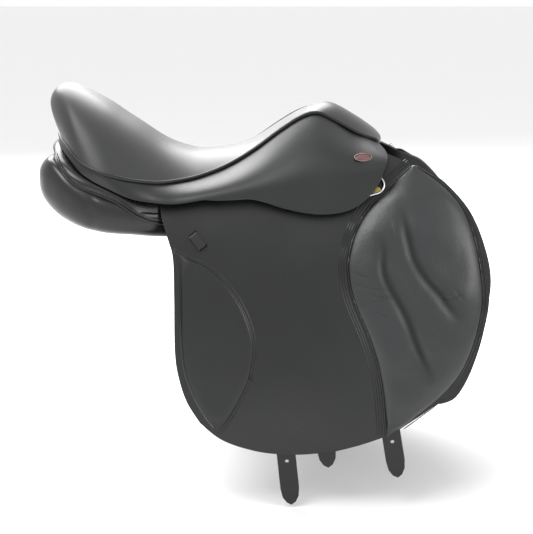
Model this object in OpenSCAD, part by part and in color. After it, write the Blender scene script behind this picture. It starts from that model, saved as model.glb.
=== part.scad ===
// English general-purpose saddle: sprung tree, seat, skirts, lifting flaps, girth straps and flocked panels.
// +X runs forward, +Y to the rider's left, +Z up. The origin lies on the middle plane, under the deepest
// point of the seat, level with the ridge where the panels bear on the back of the horse.

/* [Size] */
// Seat size in inches, from the pommel stud to the top of the cantle
seat_inches = 17; // [16.5:0.5:17.5]
// Width of each girth strap
strap_w = 25; // [24:1:26]
// Length of the rear girth strap below its web
rear_strap_len = 395; // [370:5:410]

/* [Leather] */
// Thickness of a flap
flap_t = 4.5; // [3.5:0.5:4.5]
// Thickness of a skirt
skirt_t = 3.5; // [3:0.5:3.5]
// Thickness of a girth strap
strap_t = 3.5; // [3:0.5:3.5]
// Thickness of the seat leather
cover_t = 2.5; // [2:0.25:2.75]
// Height of the knee and thigh pads above the flap
pad_h = 14; // [10:1:15]

/* [Metal] */
// Diameter of the wire of the front dees
dee_wire = 3.5; // [3:0.5:4]
// Diameter of the girth strap holes
hole_d = 5; // [4:0.5:6]

/* [Hidden] */
$fn = 64;
ARC_FN = 360;

k = seat_inches / 17;

// Leather and metal colours
black_leather = [0.06, 0.06, 0.065];
seat_leather = [0.09, 0.09, 0.095];
steel = [0.75, 0.75, 0.76];
dark_steel = [0.25, 0.25, 0.27];
brass = [0.8, 0.65, 0.25];
beech = [0.72, 0.53, 0.33];
webbing = [0.75, 0.7, 0.6];
foam = [0.85, 0.82, 0.7];
copper_red = [0.45, 0.2, 0.17];

// ---------------------------------------------------------------- curves
// Catmull-Rom curve through the control points, n steps to each span
function curve(p, n) = [
    for (i = [0:len(p) - 2], j = [0:n - 1])
        let (a = p[max(i - 1, 0)], b = p[i], c = p[i + 1], d = p[min(i + 2, len(p) - 1)], t = j / n)
        0.5 * (2 * b + (c - a) * t + (2 * a - 5 * b + 4 * c - d) * t * t
            + (3 * b - a - 3 * c + d) * t * t * t),
    p[len(p) - 1]];
function unit(v) = v / norm(v);
function flip_y(p) = [for (q = p) [q[0], -q[1], q[2]]];
function reversed(p) = [for (i = [len(p) - 1:-1:0]) p[i]];

// ---------------------------------------------------------------- solids from points
function total(v, i = 0) = i < len(v) ? v[i] + total(v, i + 1) : 0;
// Closed rings of equal length, joined in order and capped, with the faces turned outwards
module loft(rings) {
    n = len(rings[0]);
    m = len(rings);
    pts = [for (r = rings, p = r) p];
    sides = [for (i = [0:m - 2], j = [0:n - 1]) let (a = i * n + j, b = i * n + (j + 1) % n)
        each [[a, b, b + n], [a, b + n, a + n]]];
    ends = [[for (j = [n - 1:-1:0]) j], [for (j = [0:n - 1]) (m - 1) * n + j]];
    origin = rings[0][0];
    volume = total([for (f = sides) (pts[f[0]] - origin) * cross(pts[f[1]] - origin, pts[f[2]] - origin)]);
    faces = concat(sides, ends);
    polyhedron(points = pts, faces = volume < 0 ? faces : [for (f = faces) reversed(f)]);
}

// A sheet between two grids of points with the same rows and columns
module sheet(outer, inner) {
    m = len(outer);
    loft([for (i = [0:m - 1]) concat(outer[i], reversed(inner[i]))]);
}

// A round cord swept along a list of points
module cord(path, r, sides = 8) {
    m = len(path);
    loft([for (i = [0:m - 1])
        let (d = unit(path[min(i + 1, m - 1)] - path[max(i - 1, 0)]),
             side = unit(cross(d, [0.31, 0.17, 1])), up = cross(side, d))
        [for (j = [0:sides - 1]) path[i] + r * (cos(360 * j / sides) * side + sin(360 * j / sides) * up)]]);
}

// Right and left copies of one piece
module right_side() { children(); }
module left_side() { mirror([0, 1, 0]) children(); }

// ---------------------------------------------------------------- the curved side of the saddle
// Every flap layer lies on a cylinder about one axis along X, and t is the distance outwards from the
// inner face of the sweat flap.
side_r = 876.5 * k;
side_y = 696.7 * k;
side_z = -325.5 * k;
function side_y_at(z, t) = side_y - sqrt(pow(side_r + t, 2) - pow(z - side_z, 2));

sweat_layer = [0, 3];
web_layer = [3.4, 5.6];
strap_layer = [6, 6 + strap_t];
guard_layer = [11.1, 13.6];
flap_in = 14.5;
flap_out = flap_in + flap_t;
flap_layer = [flap_in, flap_out];
point_layer = [-12, -3];
pocket_layer = [-2.6, -0.4];
skirt_out = 37.5;
gap = 0.3;

module side_layer(t) {
    translate([-320, side_y, side_z]) rotate([0, 90, 0]) difference() {
        cylinder(r = side_r + t[1], h = 800, $fn = ARC_FN);
        translate([0, 0, -1]) cylinder(r = side_r + t[0], h = 802, $fn = ARC_FN);
    }
}

// A flat outline in X and Z, cut out of one layer of the side
module side_piece(t, outline) {
    intersection() {
        side_layer(t);
        translate([0, -10, 0]) rotate([90, 0, 0]) linear_extrude(height = 260) polygon(outline);
    }
}

// ---------------------------------------------------------------- the line that flap and skirt fold on
// It lies on the outer face of the skirt, so nothing that hangs from it closes on what is above it.
fold_rear = [-65 * k, 48 * k];
fold_front = [287 * k, 100 * k];
fold_mid = [(fold_rear[0] + fold_front[0]) / 2, (fold_rear[1] + fold_front[1]) / 2];
fold_point = [fold_mid[0], side_y_at(fold_mid[1], skirt_out), fold_mid[1]];
side_lean = asin((fold_mid[1] - side_z) / (side_r + skirt_out));
fold_slope = atan((fold_front[1] - fold_rear[1]) / (fold_front[0] - fold_rear[0]) / cos(side_lean));
fold_gap = 0.6;

// Local frame of the fold: X along it, Y up the leather, Z outwards
module fold_frame() {
    translate(fold_point) rotate([90 - side_lean, 0, 0]) rotate([0, 0, fold_slope]) children();
}
module above_fold() { fold_frame() translate([-400, fold_gap / 2, -90]) cube([800, 300, 260]); }
module below_fold() { fold_frame() translate([-400, -600 - fold_gap / 2, -260]) cube([800, 600, 460]); }

// ---------------------------------------------------------------- seat
// Height of the middle line of the seat along X, from the back of the cantle to the front of the pommel
seat_line = k * [[-221, 174], [-214, 191], [-202, 199], [-188, 198], [-154, 182], [-127, 167], [-98, 147],
    [-75, 131], [-50, 118], [-25, 110], [0, 108], [25, 110], [50, 116], [74, 126], [99, 141], [120, 155],
    [141, 167], [158, 174], [176, 172], [198, 160], [215, 148], [236, 131]];
// Welt round the edge of the seat on the right side, from the middle of the cantle to the pommel
welt_line = k * [[-208, 0, 142], [-203, -45, 139], [-190, -82, 130], [-171, -112, 111], [-132, -129, 93],
    [-100, -124, 84], [-65, -113, 79], [-22, -98, 82], [28, -77, 98], [64, -64, 118], [98, -54, 142],
    [128, -46, 160], [150, -44, 165], [172, -48, 156], [206, -54, 138], [234, -57, 128]];
seat_table = curve(seat_line, 4);
welt_curve = curve(welt_line, 3);
welt_y_table = [for (p = welt_curve) [p[0], p[1]]];
welt_z_table = [for (p = welt_curve) [p[0], p[2]]];
crown = 2.6;
// Stations along the seat, close together where the cantle turns round
seat_x = k * [-219, -214, -207, -199, -190, -180, -168, -152, -134, -114, -92, -68, -42, -15, 12, 38, 62,
    84, 105, 124, 142, 160, 178, 196, 214, 232];
across = [for (j = [0:12]) -cos(15 * j)];

function seat_w(x) = x < -206 * k
    ? k * lookup(x / k, [[-220, 20], [-216, 42], [-206, 62]])
    : x < -186 * k ? k * lookup(x / k, [[-206, 62], [-198, 78], [-186, 92]]) : -lookup(x, welt_y_table);
function seat_rim(x) = x < -206 * k ? k * lookup(x / k, [[-220, 166], [-214, 152], [-206, 139]])
    : lookup(x, welt_z_table);
function seat_top(x) = lookup(x, seat_table);

// A cross-section of the seat at x, set in by e
function seat_row(x, e) = let (w = seat_w(x) - e, rim = seat_rim(x), top = max(seat_top(x), rim + 0.5))
    [for (s = across) [x, w * s, rim - e + (top - rim) * (1 - pow(abs(s), crown))]];
// The underside of the foam
foam_pad = 26;
foam_drop = 6;
function foam_row(x, e) = let (w = max(seat_w(x) - e, 8), rim = seat_rim(x) - foam_drop,
    top = seat_top(x) - foam_pad)
    [for (s = across) [x, w * s, rim + (top - rim) * (1 - pow(abs(s), crown))]];

module seat_cover() {
    color(seat_leather) sheet([for (x = seat_x) seat_row(x, 0)], [for (x = seat_x) seat_row(x, cover_t)]);
}
foam_clear = 1.6;
module seat_foam() {
    xs = [for (i = [1:len(seat_x) - 2]) seat_x[i]];
    color(foam) sheet([for (x = xs) seat_row(x, cover_t + foam_clear)], [for (x = xs) foam_row(x, 14)]);
}
module seat_piping() {
    piping_r = 2.6;
    drop = [0, -1.4, -piping_r - 1.4];
    welt = [for (i = [3:len(welt_line) - 1]) welt_line[i]];
    color(black_leather) cord([for (p = curve(welt, 2)) p + drop], piping_r);
}

// ---------------------------------------------------------------- skirts
// Lower edge of the skirt in X and Z, from under the cantle to the front of the pommel
skirt_low = k * [[-190, 114], [-168, 93], [-147, 77], [-127, 67], [-100, 58], [-60, 53], [-8, 56], [32, 60],
    [55, 60], [75, 56], [98, 48], [124, 42], [151, 39], [177, 40], [197, 46], [214, 58], [228, 74],
    [237, 91], [240, 106], [237, 118], [230, 128]];
// The skirt runs from the welt out to the fold, and the lobe hangs from the fold down onto the flap
lobe_lean = 8.4;
skirt_lift = 2.5;

function fold_z(x) = fold_rear[1]
    + (x - fold_rear[0]) * (fold_front[1] - fold_rear[1]) / (fold_front[0] - fold_rear[0]);
function skirt_edge(x) = max(fold_z(x), lookup(x, skirt_low));
// Outer face of the fixed part of the skirt at its lower edge
skirt_rear_y = k * [[-190, -88], [-168, -109], [-147, -118], [-127, -123], [-100, -127], [-65, -129]];
function skirt_foot(x) = let (z = skirt_edge(x) + skirt_lift)
    [x, x < fold_rear[0] ? lookup(x, skirt_rear_y) : side_y_at(z, skirt_out), z];
skirt_x = k * [-186, -172, -156, -138, -118, -95, -65, -35, 0, 35, 65, 92, 116, 138, 158, 178, 200, 218,
    232];
function skirt_row(x, d) = let (top = [x, -seat_w(x) - 2, seat_rim(x) - 8.6], foot = skirt_foot(x),
        run = foot - top, n = unit([0, run[2], -run[1]]), bulge = norm(run) * 0.09)
    [for (s = [0:0.2:1]) top + run * s - n * d + n * bulge * sin(180 * s)];

module skirt() {
    color(black_leather) sheet([for (x = skirt_x) skirt_row(x, 0)], [for (x = skirt_x) skirt_row(x,
        skirt_t)]);
}

// A maker's plaque, left blank: an oval plate lying on the front of each skirt
badge_x = 209 * k;
badge_along = 0.5;
badge_half = 6.5;
badge_r = 5.5;
badge_t = 1.6;
function skirt_point(x, s) = let (r = skirt_row(x, 0), i = min(floor(s * 5), 4), f = s * 5 - i)
    r[i] * (1 - f) + r[i + 1] * f;
module badge() {
    p = skirt_point(badge_x, badge_along);
    ahead = skirt_point(badge_x + 8, badge_along);
    below = skirt_point(badge_x, badge_along + 0.1);
    n = unit(cross(below - p, ahead - p));
    out = n[1] > 0 ? -n : n;
    translate(p + out * 1.4) rotate([0, acos(out[2]), atan2(out[1], out[0])]) rotate([0, 0, 96])
        linear_extrude(height = badge_t) union() {
            square([2 * badge_half, 2 * badge_r], center = true);
            for (s = [-1, 1]) translate([s * badge_half, 0]) circle(r = badge_r);
        }
}
module blank_badges() {
    color(copper_red) {
        badge();
        left_side() badge();
    }
}

// Rolled facing below the skirt band, from one side round the back of the cantle to the other
roll_right = k * [[-100, -116, 50], [-140, -112, 62], [-170, -100, 80], [-190, -80, 98], [-202, -45, 111]];
module cantle_roll() {
    path = concat(roll_right, [[-206 * k, 0, 114 * k]], reversed(flip_y(roll_right)));
    color(black_leather) cord(curve(path, 3), 6);
}

// ---------------------------------------------------------------- tree
head_x = [146 * k, 182 * k];
arch_outer = k * [[-84, 62], [-74, 82], [-62, 104], [-50, 122], [-32, 135], [0, 142]];
arch_inner = k * [[-66, 62], [-58, 80], [-46, 99], [-32, 112], [-17, 119], [0, 121]];
function both_sides(half) = concat(half, [for (i = [len(half) - 2:-1:0]) [-half[i][0], half[i][1]]]);
function lowered(p, d) = [for (q = p) [q[0] + (q[0] < 0 ? d * 0.8 : q[0] > 0 ? -d * 0.8 : 0),
    q[1] - d * 0.8]];

// An arch across the saddle between two half outlines in Y and Z
module arch(x0, x1, outer, inner) {
    translate([x1, 0, 0]) rotate([90, 0, -90]) mirror([1, 0, 0]) linear_extrude(height = x1 - x0)
        polygon(concat(both_sides(outer), reversed(both_sides(inner))));
}

// Leather arch that closes the front of the head above the gullet, sloping down to the front
facing_outer = k * [[-60, 104], [-52, 111], [-37, 116], [-19, 119.5], [0, 120.5]];
facing_inner = k * [[-60, 101], [-51, 108], [-36, 113], [-19, 116.5], [0, 117.5]];
facing_mid = [213 * k, 0, 110 * k];
facing_slope = 19;
module head_facing() {
    color(black_leather) translate(facing_mid) rotate([0, facing_slope, 0]) translate(-facing_mid)
        arch(190 * k, 236 * k, facing_outer, facing_inner);
}

// Side point of the tree, with the seat of the stirrup bar
point_outline = k * [[92, 50], [92, 112], [181, 112], [181, 72], [202, 48], [221, 0], [222, -12], [212,
    -20],
    [199, -14], [176, 38], [150, 46]];
bar_rivet_u = [18, 35, 52];
bar_rivet_r = 2.5;
module bar_rivet_holes(r) {
    for (u = bar_rivet_u) fold_frame() translate([u, 0, -56]) cylinder(r = r, h = 20);
}
head_rivet_at = k * [[-58, 92], [-40, 124], [0, 134]];
head_rivet_r = 2;
module head_rivet_holes(r, x0, x1) {
    for (p = both_sides(head_rivet_at)) translate([x0, p[0], p[1]]) rotate([0, 90, 0]) cylinder(r = r,
        h = x1 - x0);
}
module tree_point() { side_piece(point_layer, point_outline); }
module tree_head() {
    color(beech) difference() {
        union() {
            arch(head_x[0], head_x[1], arch_outer, arch_inner);
            tree_point();
            left_side() tree_point();
        }
        head_rivet_holes(head_rivet_r + 0.1, head_x[1] - 14, head_x[1] + 1);
        bar_rivet_holes(bar_rivet_r + 0.1);
        left_side() bar_rivet_holes(bar_rivet_r + 0.1);
    }
}

plate_outer = k * [[-71, 80], [-60, 103], [-48, 120], [-31, 132], [0, 139]];
plate_inner = k * [[-62, 76], [-49, 98], [-35, 113], [-18, 122], [0, 124]];
plate_t = 2.6;
module head_plate() {
    x0 = head_x[1] + gap;
    color(dark_steel) difference() {
        arch(x0, x0 + plate_t, plate_outer, plate_inner);
        head_rivet_holes(head_rivet_r + 0.1, x0 - 1, x0 + plate_t + 1);
    }
}
module gullet_plate() {
    color(dark_steel) arch(head_x[0] + 4, head_x[1] - 4, lowered(arch_inner, 0.6), lowered(arch_inner,
        3.4));
}
module head_rivet(p) {
    translate([head_x[1] - 12, p[0], p[1]]) rotate([0, 90, 0]) {
        cylinder(r = head_rivet_r, h = 12 + 2 * gap + plate_t);
        translate([0, 0, 12 + 2 * gap + plate_t]) cylinder(r = 2 * head_rivet_r, h = 1.5);
    }
}
module tree_rivets() {
    color(steel) for (p = both_sides(head_rivet_at)) head_rivet(p);
}

// Bent cantle board, a band under the raised back of the seat
cantle_right = k * [[-112, -98, 66], [-140, -94, 84], [-168, -74, 108], [-182, -42, 124]];
cantle_h = 9;
cantle_half_t = 4.5;
module tree_cantle() {
    path = curve(concat(cantle_right, [[-187 * k, 0, 129 * k]], reversed(flip_y(cantle_right))), 2);
    m = len(path);
    color(beech) loft([for (i = [0:m - 1])
        let (d = unit(path[min(i + 1, m - 1)] - path[max(i - 1, 0)]), side = unit(cross(d, [0, 0, 1])),
             up = cross(side, d))
        [for (c = [[-1, -1], [1, -1], [1, 1], [-1, 1]])
            path[i] + side * c[0] * cantle_half_t + up * c[1] * cantle_h]]);
}

// Side rails from the cantle board to the points, with a spring steel strip along the top of each
rail_line = k * [[-108, -83, 66], [-60, -77, 66], [0, -71, 67], [45, -64, 78], [88, -58, 99]];
rail_half_w = 13;
rail_half_h = 6;
module strip_along(line, half_w, z0, z1) {
    loft([for (p = line) [for (c = [[-1, z0], [1, z0], [1, z1], [-1, z1]]) p + [0, c[0] * half_w, c[1]]]]);
}
module tree_rail() { color(beech) strip_along(curve(rail_line, 2), rail_half_w, -rail_half_h,
    rail_half_h); }
module spring_steel() {
    color(dark_steel) strip_along(curve(rail_line, 2), 7, rail_half_h + gap, rail_half_h + gap + 1.5);
}

// Webs that carry the seat: two along and one across
web_x = k * [-150, -125, -100, -75, -50, -25, 0, 25, 50, 75, 100, 122];
web_drop = 28;
web_t = 1.5;
module seat_webs() {
    color(webbing) {
        for (y = [-17, 17]) strip_along([for (x = web_x) [x, y, seat_top(x) - web_drop]], 9, -web_t, 0);
        translate([-48 * k, -76 * k, 75.8 * k]) cube([40 * k, 152 * k, web_t]);
    }
}

// ---------------------------------------------------------------- stirrup bar, in the frame of the fold
plate_w = [-40.2, -37.9];
bar_v = [-24, -13];
bar_w = [-14.5, -9];
bar_u = [6, 67];
leg_u = 59;
bar_plate_u = 10;
catch_pin_u = bar_u[0] + 5;
catch_pin_r = 1.5;
catch_len = 12;
lap_w = -12;
module box(u, v, w) { translate([u[0], v[0], w[0]]) cube([u[1] - u[0], v[1] - v[0], w[1] - w[0]]); }
bar_mid_v = (bar_v[0] + bar_v[1]) / 2;
module stirrup_bar() {
    color(steel) difference() {
        fold_frame() {
            box([bar_plate_u, bar_u[1]], [bar_v[0], 9], plate_w);
            box([leg_u, bar_u[1]], bar_v, [plate_w[0], bar_w[1]]);
            box([catch_pin_u + 8, bar_u[1]], bar_v, bar_w);
            box([bar_u[0], bar_u[1]], bar_v, [bar_w[0], lap_w]);
        }
        bar_rivet_holes(bar_rivet_r + 0.1);
        fold_frame() translate([catch_pin_u, bar_mid_v, -20]) cylinder(r = catch_pin_r + 0.1, h = 20);
    }
}
module bar_rivets() {
    for (u = bar_rivet_u) fold_frame() translate([u, 0, plate_w[0] - 9]) {
        cylinder(r = bar_rivet_r, h = 9 + plate_w[1] - plate_w[0]);
        translate([0, 0, 9 + plate_w[1] - plate_w[0] + 0.05]) cylinder(r = 1.7 * bar_rivet_r, h = 1.4);
    }
}
module stirrup_bar_rivets() {
    color(steel) {
        bar_rivets();
        left_side() bar_rivets();
    }
}
// Safety catch: a short arm on a pin at the open rear end of the bar
catch_half_v = 4.5;
module bar_catch() {
    w0 = lap_w + gap;
    color(steel) fold_frame() translate([catch_pin_u, bar_mid_v, w0]) difference() {
        union() {
            cylinder(r = catch_half_v, h = bar_w[1] - w0);
            translate([-catch_len, -catch_half_v, 0]) cube([catch_len, 2 * catch_half_v, bar_w[1] - w0]);
            translate([-catch_len, 0, 0]) cylinder(r = catch_half_v, h = bar_w[1] - w0);
        }
        translate([0, 0, -1]) cylinder(r = catch_pin_r + 0.1, h = 10);
    }
}
module catch_pin() {
    fold_frame() translate([catch_pin_u, bar_mid_v, bar_w[0]]) {
        cylinder(r = catch_pin_r, h = bar_w[1] - bar_w[0] + 0.3);
        translate([0, 0, bar_w[1] - bar_w[0] + 0.3]) cylinder(r = 1.6 * catch_pin_r, h = 0.5);
    }
}
module catch_pins() {
    color(dark_steel) {
        catch_pin();
        left_side() catch_pin();
    }
}

// ---------------------------------------------------------------- girth straps, hung from webs on the tree
strap_top_z = 34 * k;
pivot_z = 20 * k;
rear_top_x = 75 * k;
middle_top_x = 125 * k;
front_top_x = 200 * k;
rear_tip = [114 * k, strap_top_z - rear_strap_len + 13 * k];
middle_tip = [163 * k, -295 * k];
front_tip = [256 * k, -309 * k];
web_half = strap_w / 2 + 1.5;

// Outline of a strap in X and Z from its square top down to its rounded point
function strap_outline(top_x, tip, w) =
    let (d = unit([tip[0] - top_x, tip[1] - pivot_z]), s = [-d[1], d[0]],
         top = [top_x, pivot_z] + d * (pivot_z - strap_top_z), h = w / 2)
    concat([top + s * h, top - s * h], [tip - d * 24 - s * h, tip - d * 12 - s * h * 0.86,
        tip - d * 4 - s * h * 0.5,
        tip, tip - d * 4 + s * h * 0.5, tip - d * 12 + s * h * 0.86, tip - d * 24 + s * h]);
hole_step = 25;
hole_count = 8;
function hole_at(top_x, tip, along) = let (d = unit([tip[0] - top_x, tip[1] - pivot_z])) tip - d * along;

module strap(top_x, tip, first_hole) {
    color(black_leather) difference() {
        side_piece(strap_layer, strap_outline(top_x, tip, strap_w));
        for (i = [0:hole_count - 1]) let (c = hole_at(top_x, tip, first_hole + hole_step * i),
            lean = asin((c[1] - side_z) / (side_r + 8)))
            translate([c[0], side_y_at(c[1], strap_layer[0] - 3), c[1]]) rotate([90 - lean, 0, 0])
                cylinder(d = hole_d, h = 10);
    }
}
module girth_webs() {
    color(webbing) for (x = [rear_top_x, middle_top_x, front_top_x])
        side_piece(web_layer, [[x - web_half, -10 * k], [x + web_half, -10 * k],
            [x + web_half, (x == front_top_x ? 44 : 60) * k], [x - web_half, (x == front_top_x ? 44
                : 60) * k]]);
}

// Buckle guard: a plate over the three straps, with a loop at its back that runs on the middle one
guard_outline = k * [[52, -68], [212, -56], [224, -64], [222, -128], [210, -136], [66, -136], [54, -128]];
guard_wall = 2.5;
guard_slack = 0.9;
loop_z = [-112 * k, -84 * k];
module guard_band(t, grow) {
    d = unit([middle_tip[0] - middle_top_x, middle_tip[1] - pivot_z]);
    s = [-d[1], d[0]];
    low = [middle_top_x, pivot_z] + d * (pivot_z - loop_z[0]);
    high = [middle_top_x, pivot_z] + d * (pivot_z - loop_z[1]);
    h = strap_w / 2 + guard_slack;
    for (e = grow) side_piece(t, [low + s * e[0] * h + s * e[1], low + s * e[2] * h + s * e[3],
        high + s * e[2] * h + s * e[3], high + s * e[0] * h + s * e[1]]);
}
module buckle_guard() {
    color(black_leather) {
        side_piece(guard_layer, guard_outline);
        guard_band([3.5, 5.2], [[-1, -guard_wall, 1, guard_wall]]);
        guard_band([3.5, guard_layer[0] + 0.5], [[-1, -guard_wall, -1, 0], [1, 0, 1, guard_wall]]);
    }
}

// ---------------------------------------------------------------- panels
// Each station gives X, the middle of the section in Y and Z, half its width, half its depth and its tilt
panel_stations = [[-222, -72, 72, 24, 12, 0], [-214, -76, 70, 35, 24, 0], [-200, -77, 66, 41, 30, 2],
    [-175, -76, 46, 45, 28, 4], [-140, -75, 31, 45, 25, 6], [-100, -75, 26, 45, 26, 8], [-50, -69, 27,
        39, 27, 14],
    [0, -65, 28, 34, 26, 24], [55, -64, 28, 35, 26, 32], [105, -66, 22, 38, 26, 40], [155, -70, 14, 40,
        24, 48],
    [200, -67, 10, 42, 20, 52], [240, -67, 38, 59, 17, 58], [268, -73, 38, 56, 15, 58], [284, -78, 38,
        46, 10, 58]];
panel_square = 3.2;
function round_power(c) = sign(c) * pow(abs(c), 2 / panel_square);
function panel_ring(s) = [for (j = [0:15]) let (a = s[3] * round_power(cos(22.5 * j)),
    b = s[4] * round_power(sin(22.5 * j)))
    k * [s[0], s[1] + a * cos(s[5]) - b * sin(s[5]), s[2] + a * sin(s[5]) + b * cos(s[5])]];
module panel() { color(black_leather) loft([for (s = panel_stations) panel_ring(s)]); }

panel_piping_line = k * [[-74, -122, 33], [-100, -125, 34], [-140, -125, 40], [-175, -126, 54], [-200,
    -124, 74],
    [-214, -116, 80], [-223, -100, 82], [-228, -72, 80]];
module panel_piping() { color(black_leather) cord(curve(panel_piping_line, 2), 2.5); }

sweat_outline = curve(k * [[-24, 30], [-30, -40], [-22, -130], [-10, -195], [25, -236], [90, -254], [170,
    -252],
    [245, -234], [300, -213], [317, -209], [332, -201], [347, -177], [360, -144], [369, -112], [376, -74],
    [372, -30], [352, 14], [318, 40], [280, 46]], 3);
module sweat_flap() { color(black_leather) side_piece(sweat_layer, concat(sweat_outline, [[-24 * k,
    46 * k]])); }
module point_pocket() {
    color(black_leather) side_piece(pocket_layer, k * [[184, 20], [196, -20], [212, -28], [230, -22],
        [232, 2], [224, 24]]);
}

// ---------------------------------------------------------------- flaps
flap_outline = curve(k * [[-65, 52], [-50, 5], [-43, -20], [-41, -70], [-40, -133], [-36, -166], [-25,
    -201],
    [-7, -230], [22, -253], [65, -268], [109, -273], [151, -271], [184, -265], [236, -248], [276, -225],
    [308, -202], [340, -162], [364, -101], [375, -51], [369, -7], [350, 40], [318, 76], [296, 88], [276,
        97]], 3);
flap_top_outline = k * [[-64, 40], [-60, 55], [0, 63], [60, 78], [90, 92], [125, 104], [200, 106], [262,
    104],
    [278, 97], [278, 80]];
notch_u = [-8, 72];
notch_depth = 28;
module flap() {
    color(black_leather) intersection() {
        difference() {
            side_piece(flap_layer, concat(flap_outline, [[230 * k, 110 * k], [-40 * k, 80 * k]]));
            fold_frame() translate([notch_u[0], -notch_depth, -40]) cube([notch_u[1] - notch_u[0], 80, 40]);
        }
        below_fold();
    }
}
module flap_top() {
    color(black_leather) intersection() {
        side_piece(flap_layer, flap_top_outline);
        above_fold();
    }
}

// A point on the side of the saddle at X, Z and layer t
function on_side(x, z, t) = [x, side_y_at(z, t), z];

// A padded block on the flap, between a rear and a front seam that are tables of X against Z
module side_pad(rows, rear, front, height) {
    cols = [0:0.125:1];
    t0 = flap_out + gap;
    n = len(rows) - 1;
    function rise(i, s) = 1.5 + (height - 1.5) * pow(1 - pow(abs(2 * s - 1), 3), 0.8)
        * pow(1 - 0.9 * pow(abs(2 * i / n - 1), 5), 0.8);
    sheet(
        [for (i = [0:n]) let (z = rows[i] * k, a = lookup(rows[i], rear) * k, b = lookup(rows[i],
            front) * k)
            [for (s = cols) on_side(a + (b - a) * s, z, t0 + rise(i, s))]],
        [for (i = [0:n]) let (z = rows[i] * k)
            [on_side(lookup(rows[i], rear) * k, z, t0), on_side(lookup(rows[i], front) * k, z, t0)]]);
}
knee_rows = [92, 80, 64, 46, 24, 0, -26, -54, -82, -110, -138, -166, -194, -216, -234, -244];
knee_rear = [[-248, 238], [-225, 237], [-185, 232], [-149, 225], [-114, 213], [-82, 199], [-55, 190],
    [-26, 187],
    [-1, 192], [22, 201], [46, 217], [65, 238], [83, 258], [97, 275]];
knee_front = [[-245, 243], [-222, 275], [-196, 308], [-166, 334], [-127, 352], [-82, 363], [-45, 363],
    [5, 355],
    [46, 339], [76, 311], [97, 279]];
module knee_pad() { color(black_leather) side_pad(knee_rows, knee_rear, knee_front, pad_h); }
thigh_rows = [-14, -26, -42, -64, -90, -118, -146, -172, -196, -218, -236];
thigh_rear = [[-243, 8], [-231, 1], [-218, -8], [-192, -17], [-159, -28], [-120, -32], [-70, -32], [-26,
    -31], [-10, -38]];
thigh_front = [[-243, 15], [-231, 26], [-198, 46], [-166, 59], [-127, 63], [-89, 52], [-57, 32], [-32, 6],
    [-20, -20], [-10, -34]];
module thigh_pad() { color(black_leather) side_pad(thigh_rows, thigh_rear, thigh_front, pad_h * 0.8); }

// Slanting leather keeper near the top rear corner of the flap
keeper_a = k * [-20, 15];
keeper_b = k * [4, -8];
keeper_half = 6;
keeper_foot = 5;
module keeper_part(t, a, b) {
    d = unit(keeper_b - keeper_a);
    s = [-d[1], d[0]];
    p = keeper_a + d * a;
    q = keeper_a + d * b;
    side_piece(t, [p - s * keeper_half, q - s * keeper_half, q + s * keeper_half, p + s * keeper_half]);
}
module keeper() {
    len_ab = norm(keeper_b - keeper_a);
    t0 = flap_out + gap;
    color(black_leather) {
        keeper_part([t0 + 5, t0 + 7.2], 0, len_ab);
        keeper_part([t0, t0 + 5.5], 0, keeper_foot * 0.7);
        keeper_part([t0, t0 + 5.5], len_ab - keeper_foot * 0.7, len_ab);
    }
}

// Front dee: a wire ring threaded through a small bridge on a brass plate
dee_u = 100 * k;
dee_v = -13.5 * k;
dee_turn = 6;
dee_r = 12;
dee_side = 13;
dee_plate_w = [flap_out - skirt_out + 0.3, flap_out - skirt_out + 1.5];
dee_ring_w = dee_plate_w[1] + gap + dee_wire / 2;
module dee_frame() { fold_frame() translate([dee_u, dee_v, 0]) rotate([0, 0, dee_turn]) children(); }
module dee_plate() {
    bridge_w = dee_ring_w + dee_wire / 2 + 0.6;
    slot = dee_wire / 2 + 1.5;
    color(brass) dee_frame() {
        translate([0, 0, dee_plate_w[0]]) linear_extrude(height = dee_plate_w[1] - dee_plate_w[0]) union() {
            circle(r = 8);
            rotate([0, 0, -28]) translate([0, -5]) square([16, 10]);
            rotate([0, 0, -28]) translate([16, 0]) circle(r = 5);
        }
        for (s = [-1, 1]) translate([s * (slot + 1), 0, (dee_plate_w[0] + bridge_w) / 2])
            cube([2, 7, bridge_w - dee_plate_w[0]], center = true);
        translate([0, 0, bridge_w + 0.6]) cube([2 * slot + 4, 7, 1.8], center = true);
    }
}
module dee_wire_rod(from, to) {
    d = to - from;
    translate([from[0], from[1], 0]) rotate([0, 0, atan2(d[1], d[0])]) rotate([0, 90,
        0]) cylinder(d = dee_wire, h = norm(d));
}
module dee_ring() {
    color(steel) dee_frame() translate([0, 0, dee_ring_w]) {
        dee_wire_rod([0, -dee_r], [0, dee_r]);
        for (s = [-1, 1]) {
            dee_wire_rod([0, s * dee_r], [dee_side, s * dee_r]);
            translate([0, s * dee_r, 0]) sphere(d = dee_wire);
        }
        translate([dee_side, 0, 0]) rotate([0, 0, -90]) rotate_extrude(angle = 180)
            translate([dee_r, 0]) circle(d = dee_wire);
    }
}

// Lower lobe of the skirt, a flat leather in the frame of the fold
lobe_depth = [[0, 0], [20, 4], [45, 7], [62, 9], [80, 16], [104, 28], [130, 38], [152, 43.5], [176, 45],
    [196, 41.5],
    [213, 31.5], [226, 17], [234, 0]];
module skirt_lobe() {
    edge = curve([for (p = lobe_depth) [(p[0] - 116) * k, -p[1] * k]], 3);
    color(black_leather) fold_frame() rotate([lobe_lean, 0, 0]) translate([0, 0, -skirt_t])
        linear_extrude(height = skirt_t) intersection() {
            polygon(edge);
            translate([-200, -100.9]) square([400, 100]);
        }
}

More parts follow.
